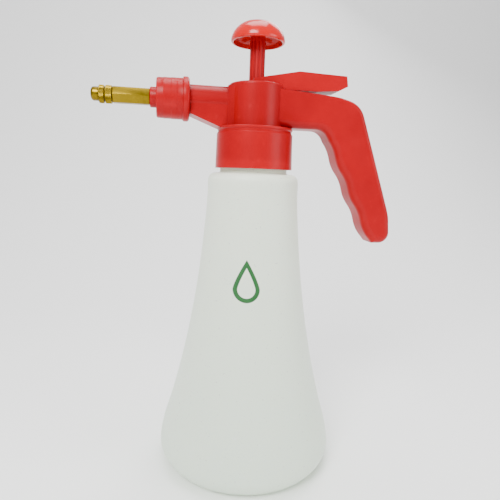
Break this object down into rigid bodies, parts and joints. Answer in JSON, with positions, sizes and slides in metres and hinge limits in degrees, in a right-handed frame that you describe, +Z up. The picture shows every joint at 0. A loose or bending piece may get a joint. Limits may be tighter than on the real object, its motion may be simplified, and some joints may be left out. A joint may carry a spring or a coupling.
{
  "type": "pump sprayer",
  "caption": "Hand pressure sprayer: waisted bottle with a screw-on pump head, pistol handle, thumb lever and a brass spray nozzle.",
  "frame": {"origin": "middle of the bottle's base, on the surface it stands on", "axes": "+Z up along the bottle and the pump; the spout points along -X and the handle along +X"},
  "size_m": [0.194, 0.1166, 0.2876],
  "materials": {
    "milky_plastic": "milky translucent, fine matt skin",
    "red_plastic": "satin moulded",
    "red_gloss_plastic": "polished, slightly translucent",
    "white_plastic": "natural moulded",
    "clear_tube_plastic": "natural extruded tube",
    "black_rubber": "moulded rubber",
    "brass": "turned, slightly dulled",
    "steel": "drawn wire and pin"
  },
  "bodies": {
    "bottle": {"bottle": "milky_plastic"},
    "gasket": {"collar_gasket": "black_rubber"},
    "head": {"sprayer_head": "red_plastic", "pump_barrel": "white_plastic", "barrel_o_rings": "black_rubber", "rod_guide": "red_plastic", "barrel_foot": "white_plastic", "check_valve": "black_rubber", "lever_pin": "steel", "valve_seat": "white_plastic", "valve_o_ring": "black_rubber", "valve_cap": "white_plastic", "valve_spring": "steel", "dip_tube": "clear_tube_plastic", "dip_tube_filter": "white_plastic", "nozzle_seal": "black_rubber", "nozzle_sleeve": "red_plastic", "nozzle_tube": "brass", "tip_o_ring": "black_rubber"},
    "pump": {"pump_rod": "red_plastic", "pump_knob": "red_gloss_plastic", "piston": "white_plastic", "piston_ring": "black_rubber"},
    "lever": {"thumb_lever": "red_plastic"},
    "valve": {"valve_pin": "white_plastic", "valve_seal": "black_rubber"},
    "nut": {"nozzle_nut": "red_plastic"},
    "lock": {"lock_ring": "brass"},
    "core": {"swirl_insert": "white_plastic"},
    "tip": {"nozzle_tip": "brass"}
  },
  "joints": [
    {"name": "head_lift", "type": "slide", "parent": "bottle", "child": "gasket", "axis": [0, 0, 1], "range_m": [0, 0.0126]},
    {"name": "head_turn", "type": "hinge", "parent": "gasket", "child": "head", "pos_m": [0, 0, 0.2186], "axis": [0, 0, 1], "range_deg": [0, 900]},
    {"name": "pump_stroke", "type": "slide", "parent": "head", "child": "pump", "axis": [0, 0, 1], "range_m": [-0.017, 0.038]},
    {"name": "lever_press", "type": "hinge", "parent": "head", "child": "lever", "pos_m": [0.0095, 0, 0.2487], "axis": [0, 1, 0], "range_deg": [0, 8], "stiffness_Nm_per_rad": 0.12, "springref_deg": -14.32},
    {"name": "valve_press", "type": "slide", "parent": "head", "child": "valve", "axis": [0, 0, -1], "range_m": [0, 0.0018], "deforming": ["valve_spring"]},
    {"name": "nut_turn", "type": "hinge", "parent": "head", "child": "nut", "pos_m": [-0.05, 0, 0.2388], "axis": [-1, 0, 0], "range_deg": [0, 90]},
    {"name": "lock_turn", "type": "hinge", "parent": "head", "child": "lock", "pos_m": [-0.09, 0, 0.2388], "axis": [-1, 0, 0], "range_deg": [-90, 90]},
    {"name": "tip_travel", "type": "slide", "parent": "head", "child": "core", "axis": [-1, 0, 0], "range_m": [0, 0.0016]},
    {"name": "tip_turn", "type": "hinge", "parent": "core", "child": "tip", "pos_m": [-0.095, 0, 0.2388], "axis": [-1, 0, 0], "range_deg": [0, 720]}
  ],
  "couplings": [
    {"joint": "head_lift", "follows": "head_turn", "m_per_rad": 0.00079577},
    {"joint": "valve_press", "follows": "lever_press", "m_per_rad": 0.012},
    {"joint": "tip_travel", "follows": "tip_turn", "m_per_rad": 0.00011937}
  ]
}
